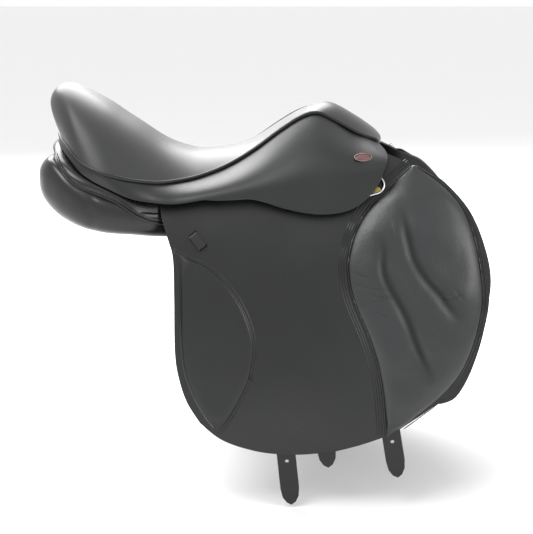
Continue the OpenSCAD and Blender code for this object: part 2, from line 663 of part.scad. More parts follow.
seat_piping();  // seat_piping_right
left_side() seat_piping();  // seat_piping_left
skirt();  // skirt_right
left_side() skirt();  // skirt_left
flap_top();  // flap_top_right
left_side() flap_top();  // flap_top_left
tree_rail();  // tree_rail_right
left_side() tree_rail();  // tree_rail_left
spring_steel();  // spring_steel_right
left_side() spring_steel();  // spring_steel_left
stirrup_bar();  // stirrup_bar_right
left_side() stirrup_bar();  // stirrup_bar_left
girth_webs();  // girth_webs_right
left_side() girth_webs();  // girth_webs_left
panel();  // panel_right
left_side() panel();  // panel_left
panel_piping();  // panel_piping_right
left_side() panel_piping();  // panel_piping_left
sweat_flap();  // sweat_flap_right
left_side() sweat_flap();  // sweat_flap_left
point_pocket();  // point_pocket_right
left_side() point_pocket();  // point_pocket_left
flap();  // flap_right
left_side() flap();  // flap_left
knee_pad();  // knee_pad_right
left_side() knee_pad();  // knee_pad_left
thigh_pad();  // thigh_pad_right
left_side() thigh_pad();  // thigh_pad_left
keeper();  // keeper_right
left_side() keeper();  // keeper_left
dee_plate();  // dee_plate_right
left_side() dee_plate();  // dee_plate_left
dee_ring();  // dee_ring_right
left_side() dee_ring();  // dee_ring_left
skirt_lobe();  // skirt_lobe_right
left_side() skirt_lobe();  // skirt_lobe_left
bar_catch();  // bar_catch_right
left_side() bar_catch();  // bar_catch_left
strap(rear_top_x, rear_tip, 62);  // rear_strap_right
left_side() strap(rear_top_x, rear_tip, 62);  // rear_strap_left
strap(middle_top_x, middle_tip, 60);  // middle_strap_right
left_side() strap(middle_top_x, middle_tip, 60);  // middle_strap_left
strap(front_top_x, front_tip, 50);  // front_strap_right
left_side() strap(front_top_x, front_tip, 50);  // front_strap_left
buckle_guard();  // buckle_guard_right
left_side() buckle_guard();  // buckle_guard_left
seat_cover();
seat_foam();
blank_badges();
cantle_roll();
head_facing();
tree_head();
head_plate();
gullet_plate();
tree_cantle();
tree_rivets();
seat_webs();
stirrup_bar_rivets();
catch_pins();
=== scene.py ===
"""English general-purpose saddle: leatherwork, padding and finishes over the saddle's working parts.

Design sizes are in millimetres: +X forward, +Y to the rider's left, +Z up. Everything on the side of the
saddle is laid out on one cylinder, by X, Z and the distance t outwards from the sweat flap's inner face.
Each piece is designed for the right side and mirrored for the left.
"""

import logging
import math
from dataclasses import dataclass, field
from enum import Enum
from typing import Callable, Optional, Sequence

import bmesh
import bpy
from mathutils import Matrix, Vector, kdtree, noise


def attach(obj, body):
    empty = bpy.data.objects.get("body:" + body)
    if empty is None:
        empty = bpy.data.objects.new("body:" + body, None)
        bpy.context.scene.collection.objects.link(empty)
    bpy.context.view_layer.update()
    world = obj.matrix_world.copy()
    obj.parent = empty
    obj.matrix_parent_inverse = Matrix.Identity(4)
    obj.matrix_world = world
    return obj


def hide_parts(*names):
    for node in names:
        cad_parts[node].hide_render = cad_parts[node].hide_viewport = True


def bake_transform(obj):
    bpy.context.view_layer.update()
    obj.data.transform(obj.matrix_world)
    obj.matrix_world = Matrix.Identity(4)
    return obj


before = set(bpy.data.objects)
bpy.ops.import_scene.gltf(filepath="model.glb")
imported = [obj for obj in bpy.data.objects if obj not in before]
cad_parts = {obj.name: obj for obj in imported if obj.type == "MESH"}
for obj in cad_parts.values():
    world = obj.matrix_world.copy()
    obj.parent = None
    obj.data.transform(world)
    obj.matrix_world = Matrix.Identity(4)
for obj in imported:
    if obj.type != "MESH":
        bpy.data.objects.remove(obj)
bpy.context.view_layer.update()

logging.basicConfig(level=logging.INFO, format="%(levelname)s %(message)s")
LOG = logging.getLogger("saddle")

MM = 0.001
ROOT = "saddle"

# ------------------------------------------------------------------ design numbers
SIDE_R = 876.5
SIDE_Y = 696.7
SIDE_Z = -325.5
FLAP_OUT = 19.0
FLAP_T = 4.5
SWEAT_OUT = 3.0
SKIRT_OUT = 37.5
SKIRT_T = 3.5
FOLD_REAR = (-65.0, 48.0)
FOLD_FRONT = (287.0, 100.0)
LOBE_LEAN = math.radians(8.4)
Point = Sequence[float]


class Side(Enum):
    """Which side of the saddle a piece is on, as the rider sits."""

    RIGHT = "right"
    LEFT = "left"


# ------------------------------------------------------------------ curves and layout
def blend_between(a: float, b: float, share: float) -> float:
    """Value at a share of the way from a to b."""
    return a + (b - a) * share


def smooth(low: float, high: float, value: float) -> float:
    """Smooth step from 0 at low to 1 at high."""
    share = min(max((value - low) / (high - low), 0.0), 1.0)
    return share * share * (3 - 2 * share)


class Curve:
    """Catmull-Rom curve through points of any dimension, read by share of its length."""

    def __init__(self, points: Sequence[Point], steps: int = 12) -> None:
        """Sample the curve.

        Args:
            points: The points that it passes through.
            steps: Samples between one point and the next.
        """
        knots = [Vector(p) for p in points]
        self.samples = []
        for i in range(len(knots) - 1):
            a, b = knots[max(i - 1, 0)], knots[i]
            c, d = knots[i + 1], knots[min(i + 2, len(knots) - 1)]
            for j in range(steps):
                t = j / steps
                bend = (2 * a - 5 * b + 4 * c - d) * t * t + (3 * b - a - 3 * c + d) * t**3
                self.samples.append(0.5 * (2 * b + (c - a) * t + bend))
        self.samples.append(knots[-1])
        self.reach = [0.0]
        for p, q in zip(self.samples, self.samples[1:]):
            self.reach.append(self.reach[-1] + (q - p).length)
        self.length = self.reach[-1]

    def at(self, share: float) -> Vector:
        """Point at a share of the length.

        Args:
            share: 0 at the first point, 1 at the last.

        Returns:
            The point, in millimetres.
        """
        goal = min(max(share, 0.0), 1.0) * self.length
        low, high = 0, len(self.reach) - 1
        while high - low > 1:
            mid = (low + high) // 2
            low, high = (mid, high) if self.reach[mid] <= goal else (low, mid)
        span = self.reach[high] - self.reach[low]
        part = (goal - self.reach[low]) / span if span else 0.0
        return self.samples[low].lerp(self.samples[high], part)

    def row(self, index: float, steps: int = 12) -> Vector:
        """Point at a knot number, whatever the spacing of the knots.

        Args:
            index: Knot number, whole or fractional.
            steps: Samples between knots, as the curve was made with.

        Returns:
            The point, in millimetres.
        """
        place = min(max(index * steps, 0.0), len(self.samples) - 1.0)
        low = min(int(place), len(self.samples) - 2)
        return self.samples[low].lerp(self.samples[low + 1], place - low)


def table(rows: Sequence[Point]) -> Callable[[float], float]:
    """Smooth function through a few rows.

    Args:
        rows: Pairs of key and value, with rising keys.

    Returns:
        The function from key to value.
    """
    curve = Curve(rows)
    keys = [p[0] for p in curve.samples]

    def read(key: float) -> float:
        """Value at a key, held at the end values beyond them."""
        if key <= keys[0]:
            return curve.samples[0][1]
        if key >= keys[-1]:
            return curve.samples[-1][1]
        low, high = 0, len(keys) - 1
        while high - low > 1:
            mid = (low + high) // 2
            low, high = (mid, high) if keys[mid] <= key else (low, mid)
        share = (key - keys[low]) / (keys[high] - keys[low])
        return blend_between(curve.samples[low][1], curve.samples[high][1], share)

    return read


class Nearest:
    """Distance from a point in X and Z to a set of curves drawn on the side of the saddle."""

    steps = 160

    def __init__(self, *curves: Curve) -> None:
        """Index the points of the curves."""
        points = [c.at(i / self.steps) for c in curves for i in range(self.steps + 1)]
        self.tree = kdtree.KDTree(len(points))
        for i, p in enumerate(points):
            self.tree.insert((p[0], 0.0, p[1]), i)
        self.tree.balance()

    def groove(self, x: float, z: float, width: float) -> float:
        """Depth of the grooves that run along the curves and fade out at their ends.

        Args:
            x: Place along the saddle in millimetres.
            z: Height in millimetres.
            width: Distance at which a groove has faded to about a third.

        Returns:
            Depth from 0 to 1.
        """
        _, index, distance = self.tree.find((x, 0.0, z))
        share = index % (self.steps + 1) / self.steps
        return math.exp(-((distance / width) ** 2)) * min(1.0, math.sin(math.pi * share) * 1.6)


def on_side(x: float, z: float, t: float) -> Vector:
    """Point on the right side of the saddle at X, Z and layer t."""
    return Vector((x, SIDE_Y - math.sqrt((SIDE_R + t) ** 2 - (z - SIDE_Z) ** 2), z))


class Fold:
    """Line that the right flap and skirt fold on: u along it, v up the leather, w outwards."""

    mid = ((FOLD_REAR[0] + FOLD_FRONT[0]) / 2, (FOLD_REAR[1] + FOLD_FRONT[1]) / 2)
    origin = on_side(mid[0], mid[1], SKIRT_OUT)
    lean = math.asin((mid[1] - SIDE_Z) / (SIDE_R + SKIRT_OUT))
    slope = math.atan((FOLD_FRONT[1] - FOLD_REAR[1]) / (FOLD_FRONT[0] - FOLD_REAR[0]) / math.cos(lean))
    turn = Matrix.Rotation(math.pi / 2 - lean, 3, "X") @ Matrix.Rotation(slope, 3, "Z")

    @classmethod
    def point(cls, u: float, v: float, w: float) -> Vector:
        """Point in the row frame, in millimetres, for place (u, v, w) in the fold's own frame."""
        return cls.origin + cls.turn @ Vector((u, v, w))

    @classmethod
    def height(cls, x: float) -> float:
        """Height of the fold line at X."""
        share = (x - FOLD_REAR[0]) / (FOLD_FRONT[0] - FOLD_REAR[0])
        return blend_between(FOLD_REAR[1], FOLD_FRONT[1], share)


# ------------------------------------------------------------------ shader maths and finishes
class Value:
    """Output of a shader node, with arithmetic that adds the nodes it needs."""

    def __init__(self, shader: "Shader", socket: bpy.types.NodeSocket) -> None:
        """Hold a socket and the shader that it belongs to."""
        self.shader = shader
        self.socket = socket

    def maths(self, operation: str, *others: "Value | float") -> "Value":
        """Result of one maths node on this value and the others."""
        inputs = {i: v for i, v in enumerate((self, *others))}
        return self.shader.node("ShaderNodeMath", inputs, operation=operation)

    def __add__(self, other: "Value | float") -> "Value":
        """Sum of the two."""
        return self.maths("ADD", other)

    def __sub__(self, other: "Value | float") -> "Value":
        """This value less the other."""
        return self.maths("SUBTRACT", other)

    def __rsub__(self, other: float) -> "Value":
        """The other less this value."""
        return self.maths("MULTIPLY_ADD", -1.0, other)

    def __mul__(self, other: "Value | float") -> "Value":
        """Product of the two."""
        return self.maths("MULTIPLY", other)

    __radd__ = __add__
    __rmul__ = __mul__

    def clipped(self) -> "Value":
        """This value kept between 0 and 1."""
        return self.maths("MINIMUM", 1.0).maths("MAXIMUM", 0.0)


class Shader:
    """A node material with one Principled shader."""

    def __init__(self, name: str) -> None:
        """Make an empty material of this name."""
        self.material = bpy.data.materials.new(name)
        self.material.use_nodes = True
        self.tree = self.material.node_tree
        self.surface = self.tree.nodes["Principled BSDF"]
        self.place = Value(self, self.tree.nodes.new("ShaderNodeTexCoord").outputs["Object"])

    def node(self, kind: str, inputs: dict, output: "int | str" = 0, **settings: object) -> Value:
        """Add one node.

        Args:
            kind: Blender's node type.
            inputs: Values or numbers, by input name or number.
            output: Which output to return.
            settings: Properties of the node.

        Returns:
            The chosen output.
        """
        made = self.tree.nodes.new(kind)
        for key, value in settings.items():
            setattr(made, key, value)
        for key, value in inputs.items():
            if isinstance(value, Value):
                self.tree.links.new(value.socket, made.inputs[key])
            else:
                made.inputs[key].default_value = value
        return Value(self, made.outputs[output])

    def set(self, **values: "Value | float | tuple") -> None:
        """Give inputs of the Principled shader, with spaces in their names written as underscores."""
        for key, value in values.items():
            socket = self.surface.inputs[key.replace("_", " ")]
            if isinstance(value, Value):
                self.tree.links.new(value.socket, socket)
            else:
                socket.default_value = value

    def noise(self, scale: float, detail: float = 4.0, roughness: float = 0.55) -> Value:
        """Noise by place, with scale in cells per metre."""
        inputs = {"Vector": self.place, "Scale": scale, "Detail": detail, "Roughness": roughness}
        return self.node("ShaderNodeTexNoise", inputs)

    def cells(self, scale: float, randomness: float = 1.0) -> Value:
        """Distance to the nearest cell edge, for grain that looks like skin."""
        return self.node(
            "ShaderNodeTexVoronoi",
            {"Vector": self.place, "Scale": scale, "Randomness": randomness},
            feature="DISTANCE_TO_EDGE",
        )

    def mix(self, share: Value, low: tuple, high: tuple) -> Value:
        """Colour between low and high by share."""
        return self.node(
            "ShaderNodeMix", {0: share, 6: (*low, 1.0), 7: (*high, 1.0)}, output=2, data_type="RGBA"
        )

    def shadow(self, share: Value) -> None:
        """Mix a dull black into the surface by share."""
        output = self.tree.nodes["Material Output"]
        dull = self.node("ShaderNodeBsdfDiffuse", {"Color": (0.002, 0.002, 0.002, 1.0)})
        leather = Value(self, self.surface.outputs["BSDF"])
        both = self.node("ShaderNodeMixShader", {0: share, 1: leather, 2: dull})
        self.tree.links.new(both.socket, output.inputs["Surface"])

    def bump(self, height: Value, depth_mm: float, strength: float = 1.0) -> Value:
        """Normal from a height whose range of 1 stands for depth_mm."""
        inputs = {"Height": height, "Distance": depth_mm * MM, "Strength": strength}
        return self.node("ShaderNodeBump", inputs)


@dataclass(frozen=True)
class Leather:
    """A leather finish.

    Args:
        name: Name of the material.
        colour: Middle colour, linear.
        rough: Middle roughness.
        spread: How far the roughness varies.
        grain: Size of a grain cell in millimetres.
        grain_depth: Depth of the grain in millimetres.
        crease_depth: Depth of the fine broken creases in millimetres.
        coat: Weight of the polish on top.
        painted_crease_shade: Whether the mesh says in its attribute "crease" where the leather is creased;
            the creases are then made rougher and darkened with painted shade.
    """

    name: str
    colour: tuple
    rough: float
    spread: float = 0.12
    grain: float = 1.1
    grain_depth: float = 0.12
    crease_depth: float = 0.0
    coat: float = 0.0
    painted_crease_shade: bool = False

    def material(self) -> bpy.types.Material:
        """Make the node material."""
        shader = Shader(self.name)
        patches = shader.noise(9.0, 5.0)
        fine = shader.noise(420.0, 3.0)
        cells = shader.cells(1000.0 / self.grain)
        grooves = (cells * 4.0).clipped()
        height = grooves * 0.75 + fine * 0.25
        if self.crease_depth:
            creases = (shader.cells(1000.0 / (self.grain * 9), 0.9) * 7.0).clipped()
            height = height * (self.grain_depth / self.crease_depth) + creases * (patches * 0.8 + 0.2)
        dark = tuple(c * 0.72 for c in self.colour)
        light = tuple(c * 1.3 for c in self.colour)
        shade = ((patches - 0.5) * 1.6 + grooves * 0.25 + 0.35).clipped()
        rough = (patches - 0.5) * self.spread * 2 + (fine - 0.5) * 0.1 + self.rough
        # Painted shade: the creases that the mesh marks are mixed towards a dull black, and made rougher.
        if self.painted_crease_shade:
            crease = shader.node("ShaderNodeAttribute", {}, output=2, attribute_name="crease")
            rough = rough + crease * 0.2
            shader.shadow(crease * 0.6)
        shader.set(
            Base_Color=shader.mix(shade, dark, light),
            Roughness=rough.clipped(),
            Normal=shader.bump(height, max(self.grain_depth, self.crease_depth)),
            Coat_Weight=self.coat,
            Coat_Roughness=0.3,
            Specular_IOR_Level=0.5,
        )
        return shader.material


@dataclass(frozen=True)
class Metal:
    """A metal finish with fine scratches along its length."""

    name: str
    colour: tuple
    rough: float

    def material(self) -> bpy.types.Material:
        """Make the node material."""
        shader = Shader(self.name)
        scratches = shader.noise(1600.0, 2.0)
        stains = shader.noise(70.0, 4.0)
        shader.set(
            Base_Color=shader.mix(stains, tuple(c * 0.8 for c in self.colour), self.colour),
            Metallic=1.0,
            Roughness=((scratches - 0.5) * 0.2 + (stains - 0.5) * 0.15 + self.rough).clipped(),
            Normal=shader.bump(scratches, 0.02),
        )
        return shader.material


@dataclass(frozen=True)
class Wood:
    """Oiled laminated wood, with the veneers and the grain running along X."""

    name: str = "tree_wood"
    light: tuple = (0.52, 0.34, 0.18)
    dark: tuple = (0.3, 0.17, 0.08)

    def material(self) -> bpy.types.Material:
        """Make the node material."""
        shader = Shader(self.name)
        stretched = shader.node(
            "ShaderNodeMapping", {"Vector": shader.place, "Scale": (8.0, 160.0, 160.0)}, vector_type="POINT"
        )
        grain = shader.node("ShaderNodeTexNoise", {"Vector": stretched, "Scale": 1.0, "Detail": 6.0})
        veneer = {"Vector": shader.place, "Scale": 110.0, "Distortion": 1.5}
        bands = shader.node("ShaderNodeTexWave", veneer, output=1)
        shader.set(
            Base_Color=shader.mix((grain * 0.75 + bands * 0.25).clipped(), self.dark, self.light),
            Roughness=(grain * 0.25 + 0.4).clipped(),
            Normal=shader.bump(grain, 0.15),
        )
        return shader.material


@dataclass(frozen=True)
class Woven:
    """Woven webbing or open foam."""

    name: str
    colour: tuple
    pitch: float = 1.6

    def material(self) -> bpy.types.Material:
        """Make the node material."""
        shader = Shader(self.name)
        scale = 2000.0 / self.pitch / math.tau
        across = shader.node(
            "ShaderNodeTexWave", {"Vector": shader.place, "Scale": scale}, output=1, bands_direction="X"
        )
        along = shader.node(
            "ShaderNodeTexWave", {"Vector": shader.place, "Scale": scale}, output=1, bands_direction="Y"
        )
        fluff = shader.noise(700.0, 3.0)
        weave = across * along * 0.8 + fluff * 0.2
        shader.set(
            Base_Color=shader.mix(weave, tuple(c * 0.6 for c in self.colour), self.colour),
            Roughness=(fluff * 0.2 + 0.75).clipped(),
            Normal=shader.bump(weave, 0.25),
        )
        return shader.material


MADE: dict = {}


class Finish(Enum):
    """Every finish on the saddle."""

    SEAT = Leather("seat_leather", (0.016, 0.0165, 0.0175), 0.46, 0.06, 0.9, 0.012, coat=0.15)
    SKIRT = Leather("skirt_leather", (0.006, 0.0066, 0.0072), 0.34, 0.12, 0.9, 0.02)
    FLAP = Leather("flap_leather", (0.0045, 0.005, 0.0056), 0.33, 0.16, 0.9, 0.02)
    # The pad leather has painted shade in its creases.
    PAD = Leather("pad_leather", (0.008, 0.009, 0.0098), 0.36, 0.14, 1.5, 0.035, 0.09, coat=0.35, painted_crease_shade=True)
    PANEL = Leather("panel_leather", (0.005, 0.005, 0.0065), 0.26, 0.1, 1.0, 0.01, coat=0.1)
    ROLL = Leather("roll_leather", (0.004, 0.004, 0.005), 0.27, 0.08, 1.0, 0.01, coat=0.1)
    PIPING = Leather("piping_leather", (0.003, 0.003, 0.0035), 0.32, 0.08, 0.8, 0.01)
    STRAP = Leather("strap_leather", (0.004, 0.004, 0.004), 0.4, 0.1, 0.8, 0.02)
    SWEAT = Leather("sweat_leather", (0.006, 0.006, 0.0065), 0.45, 0.1, 1.0, 0.02)
    THREAD = Leather("thread", (0.014, 0.014, 0.014), 0.55, 0.05, 0.5, 0.05)
    BADGE = Leather("badge_enamel", (0.12, 0.05, 0.047), 0.35, 0.05, 3.0, 0.03, coat=0.2)
    BADGE_RIM = Metal("badge_rim", (0.28, 0.19, 0.18), 0.42)
    STEEL = Metal("bright_steel", (0.72, 0.72, 0.72), 0.24)
    DARK_STEEL = Metal("dark_steel", (0.1, 0.1, 0.105), 0.5)
    BRASS = Metal("brass", (0.5, 0.4, 0.12), 0.34)
    WOOD = Wood()
    WEB = Woven("webbing", (0.22, 0.2, 0.17))

    def material(self) -> bpy.types.Material:
        """The material, made once."""
        if self.name not in MADE:
            MADE[self.name] = self.value.material()
        return MADE[self.name]


# ------------------------------------------------------------------ mesh building
def mapped(place: Callable[[float, float], Vector], columns: int, rows: int) -> bmesh.types.BMesh:
    """A grid whose points are put in place by a function.

    Args:
        place: Takes two shares from 0 to 1 and gives a point in millimetres.
        columns: Faces along the first share.
        rows: Faces along the second.

    Returns:
        The mesh, in metres.
    """
    bm = bmesh.new()
    bmesh.ops.create_grid(bm, x_segments=columns, y_segments=rows, size=0.5)
    for v in bm.verts:
        v.co = place(v.co.x + 0.5, v.co.y + 0.5) * MM
    return bm


def face_out(bm: bmesh.types.BMesh, outwards: Vector) -> None:
    """Turn an open sheet's faces so that on the whole they look outwards."""
    bm.normal_update()
    total = sum((f.normal * f.calc_area() for f in bm.faces), Vector())
    if total.dot(outwards) < 0:
        bmesh.ops.reverse_faces(bm, faces=bm.faces)


def weld(bm: bmesh.types.BMesh, gap_mm: float = 0.01) -> None:
    """Join points that coincide, close holes and face everything outwards."""
    bmesh.ops.remove_doubles(bm, verts=bm.verts, dist=gap_mm * MM)
    edges = [e for e in bm.edges if e.is_boundary]
    if edges:
        bmesh.ops.holes_fill(bm, edges=edges, sides=0)
    bmesh.ops.recalc_face_normals(bm, faces=bm.faces)


def tube(route: Callable[[float], Vector], radius: float, rings: int, sides: int = 12) -> bmesh.types.BMesh:
    """A round cord along a route, with rounded ends.

    Args:
        route: Point in millimetres for a share from 0 to 1.
        radius: Radius in millimetres.
        rings: Faces along the cord.
        sides: Faces round it.

    Returns:
        The closed mesh.
    """
    end = 3.0 / rings

    def place(around: float, along: float) -> Vector:
        """Point on the cord's skin."""
        here = route(along)
        ahead = (route(min(along + 0.5 / rings, 1.0)) - route(max(along - 0.5 / rings, 0.0))).normalized()
        side = ahead.cross(Vector((0.31, 0.17, 1.0))).normalized()
        close = min(along, 1 - along) / end
        size = radius * (math.sqrt(max(0.0, 1 - (1 - close) ** 2)) if close < 1 else 1.0)
        angle = math.tau * around
        return here + (side * math.cos(angle) + side.cross(ahead) * math.sin(angle)) * size

    bm = mapped(place, sides, rings)
    weld(bm, 0.02)
    return bm


def merged(meshes: Sequence[bmesh.types.BMesh]) -> bmesh.types.BMesh:
    """All the meshes as one."""
    whole = bmesh.new()
    for bm in meshes:
        part = bpy.data.meshes.new("part")
        bm.to_mesh(part)
        bm.free()
        whole.from_mesh(part)
        bpy.data.meshes.remove(part)
    return whole


def stitches(
    route: Callable[[float], Vector], length: float, out: Callable[[float], Vector]
) -> bmesh.types.BMesh:
    """A row of thread stitches along a seam.

    Args:
        route: Point in millimetres for a share from 0 to 1.
        length: Length of the seam in millimetres.
        out: Direction away from the leather for a share.

    Returns:
        One mesh of all the stitches.
    """
    pitch, half_length, half_width, half_height = 3.6, 1.25, 0.4, 0.28
    count = max(int(length / pitch), 1)
    bm = bmesh.new()
    for i in range(count):
        share = (i + 0.5) / count
        ahead = (route(min(share + 0.002, 1)) - route(max(share - 0.002, 0))).normalized()
        up = out(share).normalized()
        side = up.cross(ahead).normalized()
        turn = Matrix((ahead * half_length, side * half_width, up * half_height)).transposed().to_4x4()
        bmesh.ops.create_icosphere(
            bm, subdivisions=1, radius=MM, matrix=Matrix.Translation(route(share) * MM) @ turn
        )
    return bm


@dataclass
class Piece:
    """A finished piece of the saddle.

    Args:
        name: Name without the side.
        mesh: The mesh for the right side or the middle, in metres.
        finish: Its finish.
        body: The body it moves with, without the side.
        thickness: Thickness of a sheet that is still open, in millimetres, or 0 for a closed solid.
        bevel: Rounding of the sheet's edge in millimetres.
        side: The side, or None for a piece on the middle plane.
        bend: Two bodies and two points given for a piece meant to bend; such a piece is only fixed in place,
            with no body, and does not bend.
        replaces: The working parts it stands for, without the side.
        smooth_angle: Angle in degrees above which an edge is drawn sharp.
    """

    name: str
    mesh: bmesh.types.BMesh
    finish: Finish
    body: str = ROOT
    thickness: float = 0.0
    bevel: float = 0.0
    side: Optional[Side] = None
    bend: Optional[tuple] = None
    replaces: tuple = ()
    smooth_angle: float = 45.0
    made: Optional[bpy.types.Object] = field(default=None, init=False)

    def named(self, word: str) -> str:
        """The word with this piece's side added, unless it names the root or a middle part."""
        return f"{word}_{self.side.value}" if self.side and word != ROOT else word

    def build(self) -> bpy.types.Object:
        """Make the object, with its thickness, rounding and finish, and its body unless it has a bend."""
        if self.side is Side.LEFT:
            bmesh.ops.transform(self.mesh, matrix=Matrix.Scale(-1, 4, (0, 1, 0)), verts=self.mesh.verts)
            bmesh.ops.reverse_faces(self.mesh, faces=self.mesh.faces)
        data = bpy.data.meshes.new(self.named(self.name))
        self.mesh.to_mesh(data)
        self.mesh.free()
        obj = bpy.data.objects.new(self.named(self.name), data)
        bpy.context.scene.collection.objects.link(obj)
        if self.thickness:
            self._thicken(obj)
        obj.data.materials.clear()
        obj.data.materials.append(self.finish.material())
        obj.data.shade_smooth()
        obj.data.set_sharp_from_angle(angle=math.radians(self.smooth_angle))
        if self.bend:
            first, second, start, end = self.bend
            flip = Vector((1, -1 if self.side is Side.LEFT else 1, 1))
            self.named(first)
            self.named(second)
            start * flip * MM
            end * flip * MM
            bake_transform(obj)
        else:
            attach(obj, self.named(self.body))
        if self.replaces:
            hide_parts(*[self.named(n) if self.side else n for n in self.replaces])
        self.made = obj
        LOG.info("%s: %d faces, %s", obj.name, len(obj.data.polygons), self.finish.value.name)
        return obj

    def _thicken(self, obj: bpy.types.Object) -> None:
        """Give a sheet its thickness and rounded edges, and keep the result as plain mesh."""
        solid = obj.modifiers.new("thickness", "SOLIDIFY")
        solid.thickness = self.thickness * MM
        solid.offset = -1.0
        if self.bevel:
            edge = obj.modifiers.new("edge", "BEVEL")
            edge.width = self.bevel * MM
            edge.segments = 3
            edge.limit_method = "ANGLE"
            edge.angle_limit = math.radians(55)
        graph = bpy.context.evaluated_depsgraph_get()
        final = bpy.data.meshes.new_from_object(obj.evaluated_get(graph))
        obj.modifiers.clear()
        obj.data = final


def both_sides(make: Callable[[Side], Piece]) -> list:
    """Build a piece for the right and the left."""
    return [make(side).build() for side in Side]


# ------------------------------------------------------------------ shared design lines
SEAT_ROWS = Curve([
    # welt x, y, z, then middle x, z
    (-207, 0, 136, -207, 136), (-206, 24, 135.5, -212, 148), (-202, 47, 133.5, -217, 163),
    (-196, 66, 129.5, -219, 179),
    (-188, 83, 124, -213.5, 192), (-179, 99, 117, -203, 199), (-167, 114, 107.5, -188, 198.5),
    (-151, 124, 100, -166, 189),
    (-132, 129, 93, -140, 174.5), (-113, 127, 87.5, -117, 159), (-95, 122, 83, -96, 145.5),
    (-65, 113, 79, -65, 125),
    (-40, 103, 80, -38, 113.5), (-10, 93, 85, -10, 108), (28, 77, 98, 28, 111.5), (64, 64, 118, 62, 121.5),
    (98, 54, 142, 96, 139), (128, 46, 160, 124, 158), (150, 44, 165, 150, 171.5), (172, 48, 156, 173, 172.5),
    (206, 54, 138, 205, 155.5), (226, 56, 131, 228, 140), (231, 56.5, 128.5, 237, 132),
    (232, 56.5, 127, 240, 127),
    (230, 55.5, 125.5, 240, 119),
])
SKIRT_ROWS = Curve([
    # top x, y, z, then foot x, y, z
    (-207, 0, 136, -210, 0, 125), (-202, -47, 133.5, -205, -48, 123), (-188, -83, 124, -191, -85, 113.5),
    (-167, -114, 107.5, -169, -115, 94), (-151, -124, 99.5, -149, -125, 81), (-132, -129, 93, -128, -129, 71),
    (-95, -122, 83, -97, -133, 58), (-65, -113, 79, -62, -137, 53), (-40, -103, 80, -36, -136, 52.3),
    (-10, -93, 85, -6, -133.8, 56.7), (28, -77, 98, 30, -131.2, 62), (64, -64, 118, 66, -128.6, 67.4),
    (98, -54, 142, 100, -126.2, 72.4), (128, -46, 160, 132, -123.9, 77.1), (150, -44, 165, 158, -122, 80.9),
    (172, -48, 156, 186, -120, 85.1), (198, -53, 141, 210, -118.2, 88.7), (218, -56, 134, 228, -117, 91.3),
    (230, -57, 129, 235.3, -116.4, 92.4),
])
LOBE_DEPTH = table([(0, 0), (20, 4), (45, 7), (62, 9), (80, 16), (104, 28), (130, 38), (152, 43.5), (176, 45),
                    (196, 41.5), (213, 33), (228, 20), (238, 8), (242, 0)])
LOBE_REAR = -116.0
LOBE_LENGTH = 242.0
FLAP_REAR = Curve([(-65, 50), (-50, 5), (-43, -20), (-41, -70), (-40, -133), (-36, -166), (-25, -201),
    (-7, -230)])
FLAP_LOW = Curve([(-7, -230), (22, -253), (65, -268), (109, -273), (151, -271), (184, -265),
    (236, -248), (276, -225),
                  (308, -202)])
FLAP_FRONT = Curve([(224, 118), (250, 109), (275, 97), (296, 88), (318, 76), (350, 40), (369, -7),
    (375, -51), (364, -101), (340, -162),
                    (308, -202)])
FLAP_TOP = Curve([(-65, 66), (40, 81), (140, 96), (200, 108), (224, 118)])
KNEE_IN = Curve([(275, 97), (258, 83), (238, 65), (217, 46), (201, 22), (192, -1), (187, -26),
    (190, -55), (199, -82),
                 (213, -114), (225, -149), (232, -185), (236, -225), (238, -248)])
KNEE_OUT = Curve([(279, 97), (311, 76), (339, 46), (355, 5), (363, -45), (363, -82), (352, -127), (334, -166),
                  (308, -196), (275, -222), (243, -245)])
KNEE_FOLDS = [
    Curve([(231, 16), (234, -9), (234, -33), (241, -52), (251, -69), (264, -94), (278, -130),
    (290, -155), (298, -176)]),
    Curve([(258, 49), (262, 32), (265, 16), (274, -18), (288, -41), (306, -61), (321, -81), (334, -97)]),
]
KNEE_CREASES = [
    Curve([(190, -31), (202, -38), (216, -41)]), Curve([(190, -47), (210, -53), (238, -56)]),
    Curve([(210, -61), (228, -64), (245, -66)]), Curve([(221, -83), (232, -86), (241, -91)]),
    Curve([(200, -77), (216, -72), (238, -67)]), Curve([(306, -67), (321, -67), (338, -61)]),
    Curve([(326, -56), (337, -68)]),
]
THIGH_SEAM = Curve([(-44, -10), (-20, -20), (6, -32), (32, -57), (52, -89), (63, -127), (59, -166),
    (46, -198),
                    (26, -231), (15, -243)])
THIGH_EDGE = Curve([(-31, -20), (-32, -50), (-32, -86), (-32, -120), (-28, -159), (-17, -192),
    (-2, -220), (13, -240)])
PANEL_STATIONS = Curve([
    # x, then middle y and z, half width, half depth and tilt in degrees
    (-229, -55, 75, 12, 10, 0), (-226, -56, 75, 25, 19, 0), (-219, -58, 74, 37, 29, 0),
    (-208, -62, 71, 45, 37, 0),
    (-192, -68, 62, 51, 38, 0), (-172, -73, 49, 55, 34.5, 0), (-148, -76, 40, 57, 31, 0),
    (-118, -78, 33, 57, 27, 1),
    (-90, -76, 29, 55, 24, 3), (-58, -71, 27, 46, 24, 9), (-20, -66, 28, 35, 26, 20),
    (30, -64, 28, 34, 26, 29),
    (80, -65, 25, 36, 26, 36), (130, -68, 18, 39, 25, 44), (180, -68, 11, 41, 22, 50),
    (240, -67, 38, 59, 17, 58),
    (268, -73, 38, 56, 15, 58), (284, -78, 38, 46, 10, 58),
])
PANEL_LAST = 17
